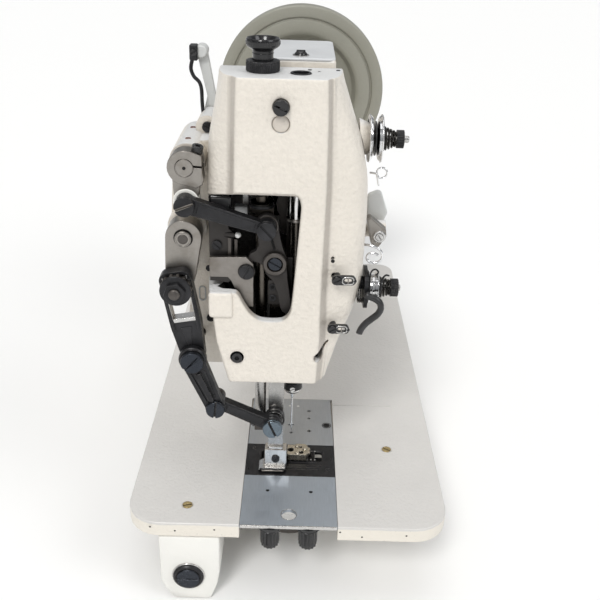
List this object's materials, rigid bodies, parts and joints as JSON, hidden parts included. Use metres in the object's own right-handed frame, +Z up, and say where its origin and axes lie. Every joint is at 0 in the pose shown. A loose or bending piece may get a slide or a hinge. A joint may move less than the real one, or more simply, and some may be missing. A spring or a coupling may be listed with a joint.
{
  "type": "bag closer sewing machine",
  "caption": "Flat-bed walking-foot machine head for sewing bags shut: bed with feed plates, arm, linkage-driven feet, thread tensions, handwheel.",
  "frame": {"origin": "middle of the bounding box's base: the needle axis meets the needle plate's top surface at (0.001, -0.19165, 0.082) m", "axes": "+X towards the operator side that carries the thread tensions, +Y along the arm towards the handwheel, +Z up"},
  "size_m": [0.264, 0.5728, 0.449],
  "materials": {
    "bed_casting": "orange-peel satin",
    "shaft_bracket_front": "orange-peel satin",
    "centre_plug": "blackened, satin",
    "needle_plate": "ground",
    "feed_insert": "blackened, satin",
    "arm_casting": "orange-peel satin",
    "face_cover": "orange-peel satin",
    "face_screw": "blackened, satin",
    "top_cover": "orange-peel satin",
    "guide_plate": "satin",
    "pressure_spring": "oiled dark",
    "rocker_stud": "blackened, satin",
    "tension_post_upper": "satin",
    "tension_disc_a": "mirror",
    "tension_disc_b": "mirror",
    "tension_spring_upper": "blackened, satin",
    "tension_plate_lower": "oiled dark",
    "tension_discs_lower": "mirror",
    "tension_spring_lower": "blackened, satin",
    "thread_guide_upper": "blackened, satin",
    "thread_guide_lower": "blackened, satin",
    "wire_guide": "mirror",
    "shuttle_race": "oiled dark",
    "main_shaft": "satin",
    "handwheel": "satin",
    "needle_crank": "oiled dark",
    "needle_bar": "polished",
    "needle_clamp": "blackened, satin",
    "needle": "polished",
    "needle_link": "oiled dark",
    "presser_bar": "polished",
    "presser_foot": "satin",
    "walking_bar_guide": "oiled dark",
    "walking_bar": "polished",
    "walking_foot": "satin",
    "upper_rock_shaft": "satin",
    "upper_split_crank": "satin",
    "upper_link": "blackened, satin",
    "bell_crank": "oiled dark",
    "lower_rock_shaft": "satin",
    "lower_rock_arm": "satin",
    "adjusting_nut": "blackened, satin",
    "slotted_rocker": "blackened, satin",
    "tapered_lever": "blackened, satin",
    "foot_link": "blackened, satin",
    "feed_rock_shaft": "satin",
    "feed_dog": "satin",
    "shuttle_shaft": "satin",
    "shuttle_hook": "polished",
    "slide_plate": "ground",
    "plate_knob_left": "matte",
    "plate_knob_right": "matte",
    "pressure_knob": "blackened, satin",
    "knob_lock_ring": "blackened, satin",
    "tension_nut_upper": "blackened, satin",
    "tension_nut_lower": "blackened, satin",
    "finger_lever": "matte",
    "release_crank": "satin",
    "release_shaft": "satin",
    "lift_lever": "satin"
  },
  "bodies": {
    "frame": {"bed_casting": "bed_casting", "shaft_bracket_front": "shaft_bracket_front", "centre_plug": "centre_plug", "needle_plate": "needle_plate", "feed_insert": "feed_insert", "arm_casting": "arm_casting", "face_cover": "face_cover", "face_screw": "face_screw", "top_cover": "top_cover", "guide_plate": "guide_plate", "pressure_spring": "pressure_spring", "rocker_stud": "rocker_stud", "tension_post_upper": "tension_post_upper", "tension_disc_a": "tension_disc_a", "tension_disc_b": "tension_disc_b", "tension_spring_upper": "tension_spring_upper", "tension_plate_lower": "tension_plate_lower", "tension_discs_lower": "tension_discs_lower", "tension_spring_lower": "tension_spring_lower", "thread_guide_upper": "thread_guide_upper", "thread_guide_lower": "thread_guide_lower", "wire_guide": "wire_guide", "shuttle_race": "shuttle_race"},
    "drive": {"main_shaft": "main_shaft", "handwheel": "handwheel", "needle_crank": "needle_crank"},
    "needle_train": {"needle_bar": "needle_bar", "needle_clamp": "needle_clamp", "needle": "needle"},
    "connecting_rod": {"needle_link": "needle_link"},
    "presser": {"presser_bar": "presser_bar", "presser_foot": "presser_foot"},
    "walking_carrier": {"walking_bar_guide": "walking_bar_guide"},
    "walking": {"walking_bar": "walking_bar", "walking_foot": "walking_foot"},
    "upper_rock": {"upper_rock_shaft": "upper_rock_shaft", "upper_split_crank": "upper_split_crank"},
    "upper_drag": {"upper_link": "upper_link"},
    "bell": {"bell_crank": "bell_crank"},
    "lower_rock": {"lower_rock_shaft": "lower_rock_shaft", "lower_rock_arm": "lower_rock_arm", "adjusting_nut": "adjusting_nut"},
    "rocker": {"slotted_rocker": "slotted_rocker", "tapered_lever": "tapered_lever"},
    "foot_drag": {"foot_link": "foot_link"},
    "feed_rock": {"feed_rock_shaft": "feed_rock_shaft"},
    "feed": {"feed_dog": "feed_dog"},
    "shuttle": {"shuttle_shaft": "shuttle_shaft", "shuttle_hook": "shuttle_hook"},
    "slide": {"slide_plate": "slide_plate"},
    "plate_knob_l": {"plate_knob_left": "plate_knob_left"},
    "plate_knob_r": {"plate_knob_right": "plate_knob_right"},
    "pressure": {"pressure_knob": "pressure_knob"},
    "lock": {"knob_lock_ring": "knob_lock_ring"},
    "tension_nut_u": {"tension_nut_upper": "tension_nut_upper"},
    "tension_nut_l": {"tension_nut_lower": "tension_nut_lower"},
    "finger": {"finger_lever": "finger_lever"},
    "release": {"release_crank": "release_crank", "release_shaft": "release_shaft"},
    "lifter": {"lift_lever": "lift_lever"}
  },
  "joints": [
    {"name": "main_shaft_turn", "type": "hinge", "parent": "frame", "child": "drive", "pos_m": [0.001, 0.10835, 0.313], "axis": [0, 1, 0], "continuous": true},
    {"name": "needle_bar_slide", "type": "slide", "parent": "frame", "child": "needle_train", "axis": [0, 0, 1], "range_m": [-0.046, 0]},
    {"name": "connecting_rod_swing", "type": "hinge", "parent": "needle_train", "child": "connecting_rod", "pos_m": [0.001, -0.17165, 0.26], "axis": [0, 1, 0], "range_deg": [-17, 17]},
    {"name": "presser_bar_lift", "type": "slide", "parent": "frame", "child": "presser", "axis": [0, 0, 1], "range_m": [0, 0.012], "deforming": ["pressure_spring"]},
    {"name": "walking_foot_lift", "type": "slide", "parent": "frame", "child": "walking_carrier", "axis": [0, 0, 1], "range_m": [0, 0.007]},
    {"name": "walking_foot_swing", "type": "hinge", "parent": "walking_carrier", "child": "walking", "pos_m": [-0.0125, -0.20365, 0.264], "axis": [0, 1, 0], "range_deg": [-0.8, 0.9]},
    {"name": "upper_rock_swing", "type": "hinge", "parent": "frame", "child": "upper_rock", "pos_m": [-0.082, -0.17165, 0.358], "axis": [0, 1, 0], "range_deg": [-6.5, 6.5]},
    {"name": "upper_link_swing", "type": "hinge", "parent": "upper_rock", "child": "upper_drag", "pos_m": [-0.0815, -0.22165, 0.3323], "axis": [0, 1, 0], "range_deg": [-6.2, 6.2]},
    {"name": "bell_crank_swing", "type": "hinge", "parent": "frame", "child": "bell", "pos_m": [-0.0149, -0.21365, 0.2845], "axis": [0, 1, 0], "range_deg": [-5.9, 5.9]},
    {"name": "lower_rock_swing", "type": "hinge", "parent": "frame", "child": "lower_rock", "pos_m": [-0.0852, -0.17165, 0.3016], "axis": [0, 1, 0], "range_deg": [-5, 4.5]},
    {"name": "rocker_swing", "type": "hinge", "parent": "frame", "child": "rocker", "pos_m": [-0.0792, -0.22165, 0.2037], "axis": [0, 1, 0], "range_deg": [-2.8, 3]},
    {"name": "foot_link_swing", "type": "hinge", "parent": "rocker", "child": "foot_drag", "pos_m": [-0.0617, -0.21965, 0.1588], "axis": [0, 1, 0], "range_deg": [-4.2, 3.8]},
    {"name": "feed_rock_swing", "type": "hinge", "parent": "frame", "child": "feed_rock", "pos_m": [-0.0814, -0.09165, 0.026], "axis": [0, 1, 0], "range_deg": [-4.5, 4.5]},
    {"name": "feed_dog_slide", "type": "slide", "parent": "frame", "child": "feed", "axis": [1, 0, 0], "range_m": [-0.0028, 0.0028]},
    {"name": "shuttle_turn", "type": "hinge", "parent": "frame", "child": "shuttle", "pos_m": [0.001, -0.09165, 0.042], "axis": [0, 1, 0], "range_deg": [-95, 95]},
    {"name": "slide_plate_slide", "type": "slide", "parent": "frame", "child": "slide", "axis": [0, -1, 0], "range_m": [0, 0.045]},
    {"name": "plate_knob_left_turn", "type": "hinge", "parent": "slide", "child": "plate_knob_l", "pos_m": [-0.0142, -0.27465, 0.072], "axis": [0, 0, 1], "range_deg": [-180, 180]},
    {"name": "plate_knob_right_turn", "type": "hinge", "parent": "slide", "child": "plate_knob_r", "pos_m": [0.0171, -0.27465, 0.072], "axis": [0, 0, 1], "range_deg": [-180, 180]},
    {"name": "pressure_knob_turn", "type": "hinge", "parent": "frame", "child": "pressure", "pos_m": [-0.0259, -0.20365, 0.432], "axis": [0, 0, 1], "range_deg": [-360, 360]},
    {"name": "lock_ring_turn", "type": "hinge", "parent": "frame", "child": "lock", "pos_m": [-0.0259, -0.20365, 0.43], "axis": [0, 0, 1], "range_deg": [-180, 180]},
    {"name": "upper_tension_turn", "type": "hinge", "parent": "frame", "child": "tension_nut_u", "pos_m": [0.077, -0.17665, 0.373], "axis": [1, 0, 0], "range_deg": [-360, 360]},
    {"name": "lower_tension_turn", "type": "hinge", "parent": "frame", "child": "tension_nut_l", "pos_m": [0.08, -0.19665, 0.257], "axis": [1, 0, 0], "range_deg": [-360, 360]},
    {"name": "finger_lever_swing", "type": "hinge", "parent": "frame", "child": "finger", "pos_m": [0.056, -0.21565, 0.2605], "axis": [0, 1, 0], "range_deg": [-12, 12]},
    {"name": "release_swing", "type": "hinge", "parent": "frame", "child": "release", "pos_m": [0.0674, -0.16165, 0.294], "axis": [0, 1, 0], "range_deg": [0, 18]},
    {"name": "lift_lever_swing", "type": "hinge", "parent": "frame", "child": "lifter", "pos_m": [-0.071, -0.12765, 0.374], "axis": [0, 1, 0], "range_deg": [-30, 5]}
  ],
  "couplings": [
    {"joint": "upper_link_swing", "follows": "upper_rock_swing", "ratio": -0.91},
    {"joint": "bell_crank_swing", "follows": "upper_rock_swing", "ratio": -0.86},
    {"joint": "rocker_swing", "follows": "lower_rock_swing", "ratio": -0.573},
    {"joint": "foot_link_swing", "follows": "lower_rock_swing", "ratio": 0.794},
    {"joint": "walking_foot_swing", "follows": "lower_rock_swing", "ratio": -0.163},
    {"joint": "feed_dog_slide", "follows": "feed_rock_swing", "m_per_rad": 0.034}
  ]
}
